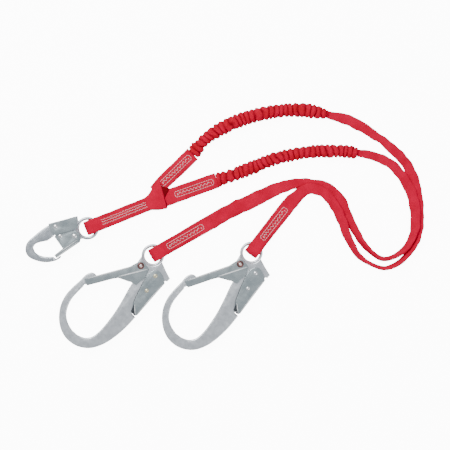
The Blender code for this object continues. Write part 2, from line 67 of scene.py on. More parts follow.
SNAP_EYE = eye_of("snap_hook")[0]
ZERO = Vector((SNAP_EYE.x - SNAP_X * MM, SNAP_EYE.y - SNAP_Y * MM, 0))  # the layout's own zero


def at(x, y, z=0.0):
    """A layout point in metres."""
    return ZERO + Vector((x, y, z)) * MM


# Camera

camera = bpy.data.objects.new("camera", bpy.data.cameras.new("camera"))
bpy.context.scene.collection.objects.link(camera)
bpy.context.scene.camera = camera
camera.data.sensor_width = 36
camera.data.lens = CAMERA_LENS
camera.location = at(*CAMERA_AT)


# Routes of the webbing: x, y, z, roll in degrees and width

LEADS = {
    "a": [(-66, 60, 4.0, 0, 25), (-50, 78, 5.4, 0, 26.6), (-25, 102, 6.6, 0, 27.2),
          (2, 128, 9.6, 0, 27.6)],
    "b": [(-56, 45, 4.0, 0, 28), (-41.3, 50.1, 5.2, 0, 29.4), (2, 65.5, 6.4, 0, 28.6),
          (45.5, 80.5, 9.6, 0, 28)],
}
ABSORBERS = {
    "a": [(2, 128), (22, 152), (49, 171), (80, 186), (117, 198), (154, 205), (191, 207),
          (220, 204), (244, 199)],
    "b": [(45.5, 80.5), (70.5, 88.8), (107.5, 102.8), (144.5, 117.6), (181, 126.6),
          (218, 132.4), (245, 133), (276, 132.6), (298, 129)],
}
SLEEVE_WIDTHS = {
    "a": [(0, 19), (5, 24.5), (13, 25), (21, 20), (30, 21.5), (45, 22.5), (76, 25.5),
          (99, 24.5), (150, 24), (200, 23.6), (232, 25), (250, 22), (262, 17), (272, 15)],
    "b": [(0, 23), (6, 25), (14, 21.5), (22, 22.5), (60, 24), (100, 23), (160, 22.5),
          (205, 23), (228, 22), (240, 23.5), (252, 22), (262, 16), (272, 14)],
}
RUNS = {
    "a": [(244, 199, 9.4, 0, 13), (256, 196, 7, 0, 15), (281, 189, 3.4, 0, 20),
          (312, 174, 2.8, 0, 18), (338, 157, 2.6, 0, 15.5), (362, 138, 2.5, 0, 18),
          (384, 114, 2.5, 0, 19), (399, 86, 2.5, 0, 19), (407, 55, 2.5, 0, 18),
          (410, 22, 3.5, 10, 18), (409, -11, 6.2, 28, 18), (399, -39, 8.5, 52, 17),
          (377, -65, 9.2, 74, 17), (349, -78, 9.3, 86, 17), (320, -69, 9.3, 98, 17),
          (298, -52, 9, 118, 17), (283, -26, 8, 142, 17), (272, 5, 7.6, 164, 18),
          (259, 31, 7.2, 176, 18), (243, 54, 7.2, 180, 18), (218, 65, 7.2, 180, 19),
          (200, 60, 6.4, 180, 21), (185, 47, 4.8, 180, 25), (174, 35, 4.2, 180, 26.5)],
    "b": [(298, 129, 9.4, 0, 13.5), (316, 127, 8.4, 0, 15), (344, 118, 7.2, 0, 17),
          (364, 107, 7.2, 0, 17.5), (379, 88, 7.2, 0, 18), (392, 66, 7.2, 0, 19),
          (401, 40, 7.4, 4, 19), (403, 11, 8.8, 16, 18), (399, -15, 10.2, 38, 17),
          (386, -41, 9.8, 60, 16), (366, -56, 9.2, 80, 16), (344, -61, 9, 94, 16),
          (325, -50, 8.9, 110, 16), (307, -30, 7.7, 134, 16), (292, -4, 5.2, 158, 16),
          (281, 22, 3.2, 174, 16), (268, 49, 2.6, 180, 16), (246, 68, 2.5, 180, 15.5),
          (220, 75, 2.5, 180, 16), (187, 75, 2.6, 180, 18.5), (147, 62, 2.8, 180, 24.5),
          (106, 43, 3.0, 180, 26.5), (64, 22, 3.6, 180, 26.8), (34, 5, 4.2, 180, 26.8)],
}
ROUTE_STEP = 2.0  # between the points of a strap
RUN_THICK, LEAD_THICK, LAYER = 4.3, 4.2, 3.2
ON_EDGE_EXTRA = 3.4  # how much fuller a strap looks where it stands on its edge
SLEEVE_MID = 9.4
PLEAT, SMALL_PLEAT = 9.8, 4.6  # lengths of the sleeve's large and small folds
LOOP_INNER, LAYER_MID, FOLD_AT = 8.7, 1.7, 6.2  # a loop's bend: radius, half a layer, distance
BOX_WIDTH, BOX_END = 10.5, 7.0  # a box of stitching, and a lead's bare end beyond it
LEAD_BOX = 73
EYE_LOOP_LENGTH = {"a": 120.0, "b": 108.0}
HOOK_OF_LEG = {"a": "b", "b": "a"}
MAIN_STRAP_LENGTH = 119.0


def smooth_route(points, step):
    """Points about a step apart on a Catmull-Rom curve through the route's own points."""
    points = [tuple(p) for p in points]
    ends = [points[0]] + points + [points[-1]]
    found = [points[0]]
    for a, b, c, d in zip(ends, ends[1:], ends[2:], ends[3:]):
        count = max(1, round(math.dist(b[:2], c[:2]) / step))
        for i in range(1, count + 1):
            t = i / count
            found.append(tuple(
                0.5 * (2 * q + (r - p) * t + (2 * p - 5 * q + 4 * r - s) * t * t
                       + (3 * q - p - 3 * r + s) * t ** 3)
                for p, q, r, s in zip(a, b, c, d)))
    return found


def read_off(table, x):
    """The value at x in a table of x and value."""
    for (x0, y0), (x1, y1) in zip(table, table[1:]):
        if x <= x1:
            t = min(1, max(0, (x - x0) / (x1 - x0)))
            return y0 + (y1 - y0) * t * t * (3 - 2 * t)
    return table[-1][1]


# Materials

def node_of(tree, kind, **values):
    node = tree.nodes.new(kind)
    for name, value in values.items():
        setattr(node, name, value)
    return node


def math_node(tree, operation, first, second=None):
    """A maths node on sockets or numbers; gives its output socket."""
    node = node_of(tree, "ShaderNodeMath", operation=operation)
    for socket, value in zip(node.inputs, (first, second)):
        if isinstance(value, bpy.types.NodeSocket):
            tree.links.new(value, socket)
        elif value is not None:
            socket.default_value = value
    return node.outputs[0]


def noise_node(tree, scale, detail=2.0, roughness=0.5, distortion=0.0):
    place = node_of(tree, "ShaderNodeTexCoord")
    grain = node_of(tree, "ShaderNodeTexNoise")
    grain.inputs["Scale"].default_value = scale
    grain.inputs["Detail"].default_value = detail
    grain.inputs["Roughness"].default_value = roughness
    grain.inputs["Distortion"].default_value = distortion
    tree.links.new(place.outputs["Object"], grain.inputs["Vector"])
    return grain.outputs["Fac"]


def mixed(tree, share, low, high):
    """A colour between two others by a share."""
    mix = node_of(tree, "ShaderNodeMix", data_type="RGBA")
    tree.links.new(share, mix.inputs[0])
    for socket, colour in ((mix.inputs[6], low), (mix.inputs[7], high)):
        if isinstance(colour, bpy.types.NodeSocket):
            tree.links.new(colour, socket)
        else:
            socket.default_value = (*colour, 1)
    return mix.outputs[2]


def ranged(tree, value, low, high, to_low, to_high):
    node = node_of(tree, "ShaderNodeMapRange")
    tree.links.new(value, node.inputs[0])
    for i, number in enumerate((low, high, to_low, to_high)):
        node.inputs[i + 1].default_value = number
    return node.outputs[0]


def bump(tree, height, distance, strength, under=None):
    node = node_of(tree, "ShaderNodeBump")
    node.inputs["Distance"].default_value = distance
    node.inputs["Strength"].default_value = strength
    tree.links.new(height, node.inputs["Height"])
    if under is not None:
        tree.links.new(under, node.inputs["Normal"])
    return node.outputs["Normal"]


def new_material(name):
    material = bpy.data.materials.new(name)
    material.use_nodes = True
    return material, material.node_tree, material.node_tree.nodes["Principled BSDF"]


def webbing_material(name, light, dark, pitch=1.5, zigzag=3.1, pleat_shade=False):
    """Woven polyester: a herringbone from the mesh's own lengths, with uneven dye, painted shade in
    the weave's low points and, where asked, in a sleeve's pleat valleys, and a sheen.
    """
    material, tree, shader = new_material(name)
    place = node_of(tree, "ShaderNodeTexCoord")
    split = node_of(tree, "ShaderNodeSeparateXYZ")
    tree.links.new(place.outputs["UV"], split.inputs[0])
    bend = math_node(tree, "PINGPONG", split.outputs[0], zigzag)
    slope = math_node(tree, "ADD", split.outputs[1], bend)
    rib = math_node(tree, "SINE", math_node(tree, "MULTIPLY", slope, 2 * math.pi / pitch))
    cross = math_node(tree, "MULTIPLY", split.outputs[0], 2 * math.pi / 0.9)
    warp = math_node(tree, "MULTIPLY", math_node(tree, "SINE", cross), 0.5)
    height = math_node(tree, "ADD", rib, warp)
    patches = noise_node(tree, 55, 3)
    fuzz = noise_node(tree, 900, 2)
    colour = mixed(tree, ranged(tree, patches, 0.3, 0.7, 0, 1), dark, light)
    # Painted shade: where the weave is low, its colour is darkened.
    shade = ranged(tree, height, -1.5, 1.5, 0.0, 1.0)
    weave_shade_colour = tuple(c * 0.72 for c in dark)
    colour = mixed(tree, ranged(tree, shade, 0, 0.6, 0.35, 1), weave_shade_colour, colour)
    if pleat_shade:
        # Painted shade: the sleeve's pleat valleys, where the fold value is low, are coloured far
        # darker.
        attribute = node_of(tree, "ShaderNodeAttribute", attribute_name="fold")
        pleat_shade_colour = tuple(c * 0.33 for c in dark)
        share = ranged(tree, attribute.outputs["Fac"], 0.15, 0.80, 0, 1)
        colour = mixed(tree, share, pleat_shade_colour, colour)
    tree.links.new(colour, shader.inputs["Base Color"])
    rough = ranged(tree, fuzz, 0.3, 0.7, 0.62, 0.82)
    tree.links.new(rough, shader.inputs["Roughness"])
    shader.inputs["Sheen Weight"].default_value = 0.06
    shader.inputs["Sheen Roughness"].default_value = 0.4
    shader.inputs["Sheen Tint"].default_value = (1.0, 0.1, 0.16, 1)
    shader.inputs["Specular IOR Level"].default_value = 0.06
    soft = bump(tree, patches, 0.0012, 0.35)
    fuzzy = bump(tree, fuzz, 0.0002, 0.3, soft)
    tree.links.new(bump(tree, height, 0.00016, 0.55, fuzzy), shader.inputs["Normal"])
    return material


def metal_material(name, light, dark, rough, metallic=0.92, pits=0.25, scale=90):
    """Zinc plate: mottled, finely pitted and unevenly dull. Also the look of the painted highlight
    and painted shadow beads.
    """
    material, tree, shader = new_material(name)
    mottle = noise_node(tree, scale, 4, 0.6, 0.4)
    fine = noise_node(tree, 1100, 3, 0.6)
    colour = mixed(tree, ranged(tree, mottle, 0.32, 0.68, 0, 1), dark, light)
    tree.links.new(colour, shader.inputs["Base Color"])
    shader.inputs["Metallic"].default_value = metallic
    wear = math_node(tree, "MULTIPLY", mottle, fine)
    tree.links.new(ranged(tree, wear, 0.1, 0.45, rough - 0.07, rough + 0.1),
                   shader.inputs["Roughness"])
    soft = bump(tree, mottle, 0.0006, 0.12)
    tree.links.new(bump(tree, fine, 0.00012, pits, soft), shader.inputs["Normal"])
    return material


def thread_material():
    material, tree, shader = new_material("thread")
    strands = noise_node(tree, 1500, 1)
    tree.links.new(mixed(tree, strands, (0.98, 0.60, 0.63), (1.0, 0.86, 0.87)),
                   shader.inputs["Base Color"])
    shader.inputs["Roughness"].default_value = 0.6
    shader.inputs["Sheen Weight"].default_value = 0.3
    tree.links.new(bump(tree, strands, 0.0002, 0.5), shader.inputs["Normal"])
    return material


RED_LIGHT, RED_DARK = (0.80, 0.0, 0.050), (0.62, 0.0, 0.032)
LOOKS = {
    "web": webbing_material("red_webbing", RED_LIGHT, RED_DARK),
    "sleeve": webbing_material("red_sleeve", RED_LIGHT, (0.62, 0.005, 0.022), 1.1, 2.2, True),
    # Painted shade: a near-black red for the pad put where the wedge's mouth lies in shade.
    "shade": webbing_material("red_webbing_painted_shade", (0.26, 0.003, 0.01), (0.16, 0.002, 0.006)),
    "cream": webbing_material("tear_webbing", (0.80, 0.74, 0.58), (0.66, 0.60, 0.45)),
    "elastic": webbing_material("elastic", (0.78, 0.72, 0.58), (0.64, 0.58, 0.46), 0.9, 1.2),
    "thread": thread_material(),
    "forged": metal_material("forged_zinc", (0.84, 0.875, 0.91), (0.68, 0.72, 0.76), 0.33, 0.85,
                             0.35, 130),
    "snap": metal_material("snap_zinc", (0.70, 0.745, 0.79), (0.55, 0.60, 0.645), 0.27, 0.95,
                           0.25, 110),
    "sheet": metal_material("sheet_zinc", (0.55, 0.62, 0.64), (0.44, 0.51, 0.535), 0.28,
                            pits=0.14, scale=60),
    "rivet": metal_material("rivet_zinc", (1.0, 1.0, 1.0), (0.90, 0.92, 0.93), 0.22, 1.0, 0.05),
    # Painted highlight: a white, non-metallic look that makes thin beads read as bright lines along
    # edges, bends and creases.
    "painted_highlight": metal_material("painted_edge_highlight", (1.0, 1.0, 1.0), (0.94, 0.96, 0.97), 0.5, 0.0, 0.02),
    "brass": metal_material("rivet_yellow", (0.90, 0.84, 0.60), (0.70, 0.62, 0.40), 0.3, 0.6),
    "rust": metal_material("rivet_brown", (0.24, 0.12, 0.11), (0.12, 0.06, 0.06), 0.4),
    "pale": metal_material("rivet_core", (0.92, 0.82, 0.80), (0.80, 0.66, 0.64), 0.3, 0.6),
    # Painted shadow: a near-black look for beads and a thin sheet put where shade falls under the
    # gates' and levers' edges.
    "dark": metal_material("shadow_gap", (0.05, 0.06, 0.07), (0.03, 0.035, 0.04), 0.6, 0.3),
    "spring": metal_material("spring_steel", (0.36, 0.36, 0.37), (0.22, 0.22, 0.23), 0.35),
}


def dress(nodes, look):
    """Gives CAD nodes a look of their own."""
    for node in nodes:
        materials = frame["nodes"][node].data.materials
        materials.clear()
        materials.append(LOOKS[look])


def show(name, mesh, look, body, replaced=(), smooth=True, place=None):
    """A visible piece on a CAD body, in place of the CAD nodes named."""
    mesh.materials.clear()
    mesh.materials.append(LOOKS[look])
    if smooth:
        mesh.polygons.foreach_set("use_smooth", [True] * len(mesh.polygons))
    obj = bpy.data.objects.new(name, mesh)
    bpy.context.scene.collection.objects.link(obj)
    if place is not None:
        obj.matrix_world = place
    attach(obj, body)
    if replaced:
        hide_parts(*replaced)
    return obj


def facing(mesh):
    """Turns every face outwards."""
    shape = bmesh.new()
    shape.from_mesh(mesh)
    bmesh.ops.recalc_face_normals(shape, faces=shape.faces)
    shape.to_mesh(mesh)
    shape.free()


def ringed_mesh(name, verts, sides, lengths=None):
    """A closed mesh from rings of as many points as it has sides, capped at both ends.

    lengths holds each point's millimetres across and along, for the weave."""
    count = len(verts) // sides
    faces = []
    for i in range(count - 1):
        for k in range(sides):
            a, b = i * sides + k, i * sides + (k + 1) % sides
            faces.append((a, b, b + sides, a + sides))
    faces.append(tuple(range(sides))[::-1])
    faces.append(tuple(range((count - 1) * sides, count * sides)))
    mesh = bpy.data.meshes.new(name)
    mesh.from_pydata(verts, [], faces)
    if lengths:
        layer = mesh.uv_layers.new(name="UVMap")
        flat_uv = []
        for loop in mesh.loops:
            flat_uv.extend(lengths[loop.vertex_index])
        layer.data.foreach_set("uv", flat_uv)
    facing(mesh)
    return mesh


# Webbing

def frames_along(route, thick):
    """Centre, side, normal, width, thickness and distance at each point of a route."""
    points = [at(*p[:3]) for p in route]
    found, along = [], 0.0
    for i, point in enumerate(points):
        along += (point - points[max(i - 1, 0)]).length / MM
        tangent = points[min(i + 1, len(points) - 1)] - points[max(i - 1, 0)]
        left = UP.cross(tangent).normalized()
        roll = math.radians(route[i][3])
        side = left * math.cos(roll) + UP * math.sin(roll)
        normal = UP * math.cos(roll) - left * math.sin(roll)
        edge = math.sin(roll) ** 2
        found.append((point, side, normal, route[i][4], thick + ON_EDGE_EXTRA * edge, along))
    return found


def web_mesh(name, frames, crease=0.5, pucker=0.5, edge=0.5, seed=0.0, sides=24, flat=0.72):
    """A flattened tube of webbing along its frames, creased, and puckered at its edges."""
    verts, lengths = [], []
    for centre, side, normal, width, thick, s in frames:
        for k in range(sides):
            angle = 2 * math.pi * (k + 0.5) / sides
            across = math.copysign(abs(math.cos(angle)) ** 0.62, math.cos(angle))
            over = math.copysign(abs(math.sin(angle)) ** flat, math.sin(angle))
            lift = crease * noise.noise((s / 34, across * 2.1, seed))
            lift += pucker * abs(across) ** 3 * noise.noise((s / 9, across * 0.9, seed + 7))
            wave = edge * across * noise.noise((s / 13, across * 0.7, seed + 13))
            wave += edge * 0.8 * noise.noise((s / 29, 0.3, seed + 21))
            u = across * width / 2
            point = centre + side * (u + wave) * MM + normal * (over * thick / 2 + lift) * MM
            point.z = max(point.z, -0.0002)
            verts.append(point)
            lengths.append((u, s))
    return ringed_mesh(name, verts, sides, lengths)


def on_top(frames, s, u, lift=0.35):
    """The point on the webbing's upper face at a distance along and across."""
    s = min(max(s, frames[0][5]), frames[-1][5])
    for a, b in zip(frames, frames[1:]):
        if s <= b[5]:
            t = (s - a[5]) / max(b[5] - a[5], 1e-9)
            centre, side, normal = (a[i].lerp(b[i], t) for i in range(3))
            return centre + side * u * MM + normal * (a[4] / 2 + lift) * MM
    return frames[-1][0]


def stitches(name, frames, rows, length=3.2, space=0.8, thick=0.95):
    """Short capsules of thread along rows of points, each given along and across the webbing."""
    shape = bmesh.new()
    for row in rows:
        points = [on_top(frames, s, u) for s, u in row]
        dense = [points[0]]
        for a, b in zip(points, points[1:]):
            count = max(1, int((b - a).length / MM / 0.5))
            dense += [a.lerp(b, (i + 1) / count) for i in range(count)]
        walked, start = 0.0, dense[0]
        for a, b in zip(dense, dense[1:]):
            walked += (b - a).length / MM
            if walked >= length:
                capsule(shape, start, b, thick * MM / 2)
                start = None
                walked = -space
            elif start is None and walked >= 0:
                start = b
                walked = 0.0
    mesh = bpy.data.meshes.new(name)
    shape.to_mesh(mesh)
    shape.free()
    return show(name, mesh, "thread", "webbing")


def capsule(shape, start, end, radius):
    """One stitch: a short six-sided thread with rounded ends."""
    axis = (end - start).normalized()
    side = UP.cross(axis).normalized()
    high = axis.cross(side)
    rings = []
    for share, size in ((0, 0.35), (0.14, 0.85), (0.5, 1), (0.86, 0.85), (1, 0.35)):
        centre = start.lerp(end, share)
        rings.append([shape.verts.new(centre + (side * math.cos(a) + high * math.sin(a) * 0.8)
                                      * radius * size)
                      for a in (math.pi * i / 3 for i in range(6))])
    for one, two in zip(rings, rings[1:]):
        for i in range(6):
            shape.faces.new((one[i], one[(i + 1) % 6], two[(i + 1) % 6], two[i]))
    shape.faces.new(rings[0][::-1])
    shape.faces.new(rings[-1])


def box_rows(start, length, width, zigzag=7.0):
    """A box of stitching with a tight zigzag down its middle."""
    a, b, h = start, start + length, width / 2
    rows = [[(a + 1.4, h), (b - 1.4, h), (b, h - 1.4), (b, 1.4 - h), (b - 1.4, -h),
             (a + 1.4, -h), (a, 1.4 - h), (a, h - 1.4), (a + 1.4, h)]]
    inner, count = h - 2.4, int((length - 9) / zigzag)
    row = [(a + 4.5, -inner), (a + 4.5, inner)]
    for i in range(count * 2 + 1):
        row.append((a + 6 + i * (length - 12) / (count * 2), inner if i % 2 else -inner))
    rows.append(row)
    rows.append([(b - 4.5, -inner), (b - 4.5, inner)])
    return rows


def build_run(leg):
    """The free run of a leg, a cord that leaves the sleeve and comes back to its loop."""
    route = smooth_route(RUNS[leg], ROUTE_STEP)
    frames = frames_along(route, RUN_THICK)
    mesh = web_mesh(f"leg_{leg}_run", frames, 1.2, 1.1, 1.5, seed=3.0 if leg == "a" else 41.0,
                    flat=0.95)
    obj = show(f"leg_{leg}_run", mesh, "web", "webbing", [f"leg_{leg}_webbing"])


for leg in "ab":
    build_run(leg)


def loop_frames(eye, along, length, width):
    """A strap from its lower end to the eye, round it and back on top, in the strap's own plane."""
    low = HOOK_MID - LOOP_INNER - LAYER_MID + 0.1
    high = HOOK_MID + LOOP_INNER
    path = [(length - 2, low + 1.6), (80, low + 1.6), (50, low + 1.6), (30, low + 1.6),
            (16, low + 1.5)]
    for i in range(13):
        angle = math.radians(270 - 180 * i / 12)
        path.append((FOLD_AT + LOOP_INNER * math.cos(angle),
                     HOOK_MID + LOOP_INNER * math.sin(angle)))
    path += [(18, high), (24, high - 2.6), (34, 12.8), (44, 6.4), (52, 5.0), (66, 4.8), (90, 4.8),
             (length + 2.5, 4.8)]
    dense = smooth_route(path, ROUTE_STEP)
    side = UP.cross(along).normalized()
    points = [Vector((eye.x, eye.y, 0)) + along * x * MM + UP * z * MM for x, z in dense]
    found, walked = [], 0.0
    for i, point in enumerate(points):
        walked += (point - points[max(i - 1, 0)]).length / MM
        tangent = points[min(i + 1, len(points) - 1)] - points[max(i - 1, 0)]
        normal = tangent.cross(side).normalized()
        x = dense[i][0]
        wide = width(x) if callable(width) else width
        found.append((point, side, normal, wide, LAYER, walked))
    return found


def build_loop(name, hook, length, width, seed):
    """A strap sewn round a hook's eye; gives its upper layer's frames, for the stitching."""
    eye, along = eye_of(hook)
    frames = loop_frames(eye, along, length, width)
    mesh = web_mesh(name, frames, 0.25, 0.45, 0.35, seed, flat=0.8)
    show(f"{name}_web", mesh, "web", "webbing", [name])
    top = [f for f in frames if f[2].z > 0.2]
    first = top[0][5]
    return [(c, s, n, w, t, d - first) for c, s, n, w, t, d in top]


for letter, box_start, box_length, seed in (("a", 37, 73, 5.0), ("b", 36, 77, 9.0)):
    hook = "rebar_hook_" + HOOK_OF_LEG[letter]
    node = f"leg_{letter}_eye_loop"
    top = build_loop(node, hook, EYE_LOOP_LENGTH[HOOK_OF_LEG[letter]],
                     lambda x: 25.2 + 1.6 * min(1, max(0, (x - 40) / 60)), seed)
    stitches(f"leg_{letter}_eye_stitches", top, box_rows(box_start, box_length, BOX_WIDTH))

top = build_loop("main_strap", "snap_hook", MAIN_STRAP_LENGTH, 25.4, 17.0)
wavy = []
for u, size, phase in ((4.2, 1.5, 0.0), (0.2, 1.7, 1.1), (-4.4, 1.4, 2.3)):
    wavy.append([(34 + i * 1.9, u + size * math.sin(i * 1.9 + phase)) for i in range(49)])
stitches("main_strap_stitches", top, wavy)

for leg in "ab":
    lead = smooth_route(LEADS[leg], ROUTE_STEP)
    frames = frames_along(lead, LEAD_THICK)
    mesh = web_mesh(f"leg_{leg}_lead_web", frames, 0.25, 0.4, 0.35, 23.0 + ord(leg), flat=0.8)
    show(f"leg_{leg}_lead_web", mesh, "web", "webbing", [f"leg_{leg}_lead"])
    total = frames[-1][5]
    rows = box_rows(total - BOX_END - LEAD_BOX, LEAD_BOX, BOX_WIDTH)
    stitches(f"leg_{leg}_lead_stitches", frames, rows)


# Absorber sleeves

def sleeve_mesh(name, route, widths, seed, sides=60):
    """A gathered sleeve: a tube whose cloth is bunched into uneven pleats all along."""
    points = [at(x, y, SLEEVE_MID) for x, y in route]
    verts, lengths, pleat_shade = [], [], []
    s = 0.0
    for i, point in enumerate(points):
        s += (point - points[max(i - 1, 0)]).length / MM
        tangent = points[min(i + 1, len(points) - 1)] - points[max(i - 1, 0)]
        left = UP.cross(tangent).normalized()
        width = read_off(widths, s)
        height = min(17.2, width * 0.76)
        size = 1.0 + 0.7 * noise.noise((s / 13, 4.2, seed))
        for k in range(sides):
            angle = 2 * math.pi * k / sides
            c, q = math.cos(angle), math.sin(angle)
            warp = 6.5 * noise.noise((s / 24, c * 0.45, q * 0.45 + seed))
            warp += 2.0 * noise.noise((s / 9, c * 0.9, q * 0.9 + seed + 9))
            phase = (s + warp) / PLEAT
            pleat = abs(math.sin(math.pi * phase)) ** 0.55
            small = abs(math.sin(math.pi * ((s + warp * 1.6) / SMALL_PLEAT + c * 0.5))) ** 0.7
            lump = noise.noise((s / 9, c * 1.3, q * 1.3 + seed + 31))
            grow = 3.9 * (pleat - 0.66) * size + 0.9 * (small - 0.6) + 1.2 * lump
            across = math.copysign(abs(c) ** 0.85, c) * (width / 2 - 0.6) + c * grow
            over = q * height / 2 + q * grow
            spot = point + left * across * MM + UP * over * MM
            spot.z = max(spot.z, -0.0001)
            verts.append(spot)
            lengths.append((angle * width / 2, s * 1.8))
            # The fold value is low in the pleats' valleys, where it paints shade.
            pleat_shade.append(max(0.0, min(1.0, 0.8 * pleat + 0.2 * small)))
    mesh = ringed_mesh(name, verts, sides, lengths)
    attribute = mesh.attributes.new("fold", "FLOAT", "POINT")
    attribute.data.foreach_set("value", pleat_shade)
    return mesh


for leg, seed in (("a", 2.0), ("b", 60.0)):
    mesh = sleeve_mesh(f"leg_{leg}_gathered_sleeve", smooth_route(ABSORBERS[leg], 0.8),
                       SLEEVE_WIDTHS[leg], seed)
    show(f"leg_{leg}_gathered_sleeve", mesh, "sleeve", "webbing",
         [f"leg_{leg}_absorber_sleeve"])


# The sewn wedge where the legs part: lower and upper ends of each line across it, and its top

WEDGE = [((-78, 24.6), (-87.4, 48.2), 6.9), ((-72.6, 26.6), (-82.4, 51.2), 7.6),
         ((-66, 26.8), (-77.4, 57.0), 8.2), ((-58.5, 27.2), (-72, 66.5), 8.8),
         ((-51, 28.2), (-66, 75.4), 9.0), ((-44.5, 29.4), (-58.6, 84.0), 8.8)]


def build_wedge():
    lines = smooth_route([(*low, *high, top) for low, high, top in WEDGE], ROUTE_STEP)
    frames, walked = [], 0.0
    for i, (x0, y0, x1, y1, top) in enumerate(lines):
        low, high = at(x0, y0, 0), at(x1, y1, 0)
        centre = (low + high) / 2 + UP * (top / 2 + 0.2) * MM
        if frames:
            walked += (centre - frames[-1][0]).length / MM
        side = (high - low).normalized()
        frames.append((centre, side, UP, (high - low).length / MM, top - 0.4, walked))
    mesh = web_mesh("y_wedge", frames, 0.6, 0.4, 0.5, 77.0, sides=36, flat=0.55)
    show("y_wedge", mesh, "web", "webbing", ["y_sleeve"])


def build_mouth_shade(points, low, thick):
    """Painted shade of the fold inside the wedge's mouth: a rounded dark pad of the outline."""
    outline = smooth_route(points + [points[0]], ROUTE_STEP)[:-1]
    middle = Vector((sum(p[0] for p in outline), sum(p[1] for p in outline), 0)) / len(outline)
    verts = []
    for share, height in ((0.86, 0), (1.0, 0.3), (1.0, 0.65), (0.9, 0.92), (0.6, 1.0)):
        for x, y in outline:
            spot = middle.lerp(Vector((x, y, 0)), share)
            verts.append(at(spot.x, spot.y, low + thick * height))
    mesh = ringed_mesh("y_mouth_painted_shade", verts, len(outline), [(v.x / MM, v.y / MM) for v in verts])
    show("y_mouth_painted_shade", mesh, "shade", "webbing")


build_wedge()
build_mouth_shade([(-57, 77), (-50, 70.5), (-40.4, 65.4), (-45.2, 55), (-48.5, 44), (-43.2, 31),
             (-50, 36), (-54, 50), (-58, 66)], 1.0, 7.2)

dress(("leg_a_absorber_core", "leg_b_absorber_core"), "cream")
dress(("leg_a_elastic_band", "leg_b_elastic_band"), "elastic")


# Hooks: outlines in millimetres from the eye's centre, with the hook's own axis along +X

EYE_HOLE, EYE_RING, EYE_STEP, RING_HALF = 15.0, 20.5, 18.5, 3.5
R_BODY_HALF = 5.0
R_GATE_PIVOT = (-28.0, 4.0)
R_GATE_DIRECTION = 146.0
R_GATE_INNER, R_GATE_OUTER = 5.4, 6.8
R_LOCK_INNER, R_LOCK_OUTER = 7.3, 8.8
R_LOCK_PIVOT = (-24.5, -27.8)
R_LOCK_PIN = (-54.5, -33.3)
R_BACK = -49.5
S_BODY_HALF = 4.5
S_GATE_PIVOT = (-26.4, -4.3)
S_GATE_INNER, S_GATE_OUTER = 4.9, 6.2
S_GATE_PIN = (-50.3, 5.3)
S_LOCK_INNER, S_LOCK_OUTER = 7.9, 9.2
S_LOCK_PIVOT = (-51.2, 24.2)


def arc(centre, radius, start, end, count):
    """Points on an arc between two angles in degrees."""
    angles = [math.radians(start + (end - start) * i / count) for i in range(count + 1)]
    return [(centre[0] + radius * math.cos(a), centre[1] + radius * math.sin(a)) for a in angles]


def ring_of(centre, radius, sides):
    return arc(centre, radius, 0, 360 * (1 - 1 / sides), sides - 1)


def plate_mesh(name, outlines, half, bevel=0.0, levels=3, middle=0.0):
    """Flat outlines, the first one outside and the rest holes, made thick and rounded."""
    curve = bpy.data.curves.new(name, "CURVE")
    curve.dimensions = "2D"
    curve.fill_mode = "BOTH"
    curve.extrude = (half - bevel) * MM
    curve.bevel_depth = bevel * MM
    curve.bevel_resolution = levels
    curve.offset = -bevel * MM
    for outline in outlines:
        spline = curve.splines.new("POLY")
        spline.use_cyclic_u = True
        spline.points.add(len(outline) - 1)
        for point, (x, y) in zip(spline.points, outline):
            point.co = (x * MM, y * MM, 0, 1)
    holder = bpy.data.objects.new(name, curve)
    bpy.context.scene.collection.objects.link(holder)
    bpy.context.view_layer.update()
    graph = bpy.context.evaluated_depsgraph_get()
    mesh = bpy.data.meshes.new_from_object(holder.evaluated_get(graph))
    bpy.data.objects.remove(holder)
    bpy.data.curves.remove(curve)
    shape = bmesh.new()
    shape.from_mesh(mesh)
    bmesh.ops.remove_doubles(shape, verts=shape.verts, dist=0.00002)
    bmesh.ops.recalc_face_normals(shape, faces=shape.faces)
    bmesh.ops.translate(shape, verts=shape.verts, vec=(0, 0, middle * MM))
    shape.to_mesh(mesh)
    shape.free()
    return mesh


def carved(name, base, changes):
    """The base mesh with other meshes joined on or cut away."""
    helpers = []
    obj = bpy.data.objects.new(name, base)
    bpy.context.scene.collection.objects.link(obj)
    for i, (mesh, operation) in enumerate(changes):
        helper = bpy.data.objects.new(f"{name}_helper_{i}", mesh)
        bpy.context.scene.collection.objects.link(helper)
        helpers.append(helper)
        modifier = obj.modifiers.new(helper.name, "BOOLEAN")
        modifier.object = helper
        modifier.operation = operation
    bpy.context.view_layer.update()
    graph = bpy.context.evaluated_depsgraph_get()
    made = bpy.data.meshes.new_from_object(obj.evaluated_get(graph))
    for helper in helpers + [obj]:
        bpy.data.objects.remove(helper)
    made.polygons.foreach_set("use_smooth", [True] * len(made.polygons))
    made.set_sharp_from_angle(angle=math.radians(32))
    return made


def turned_mesh(name, profile, centre, sides=36):
    """A closed solid of revolution from its half profile, about a centre."""
    verts = []
    for r, z in profile:
        for i in range(sides):
            a = 2 * math.pi * i / sides
            verts.append(((centre[0] + r * math.cos(a)) * MM, (centre[1] + r * math.sin(a)) * MM,
                          z * MM))
    mesh = ringed_mesh(name, verts, sides)
    mesh.polygons.foreach_set("use_smooth", [True] * len(mesh.polygons))
    mesh.set_sharp_from_angle(angle=math.radians(40))
    return mesh


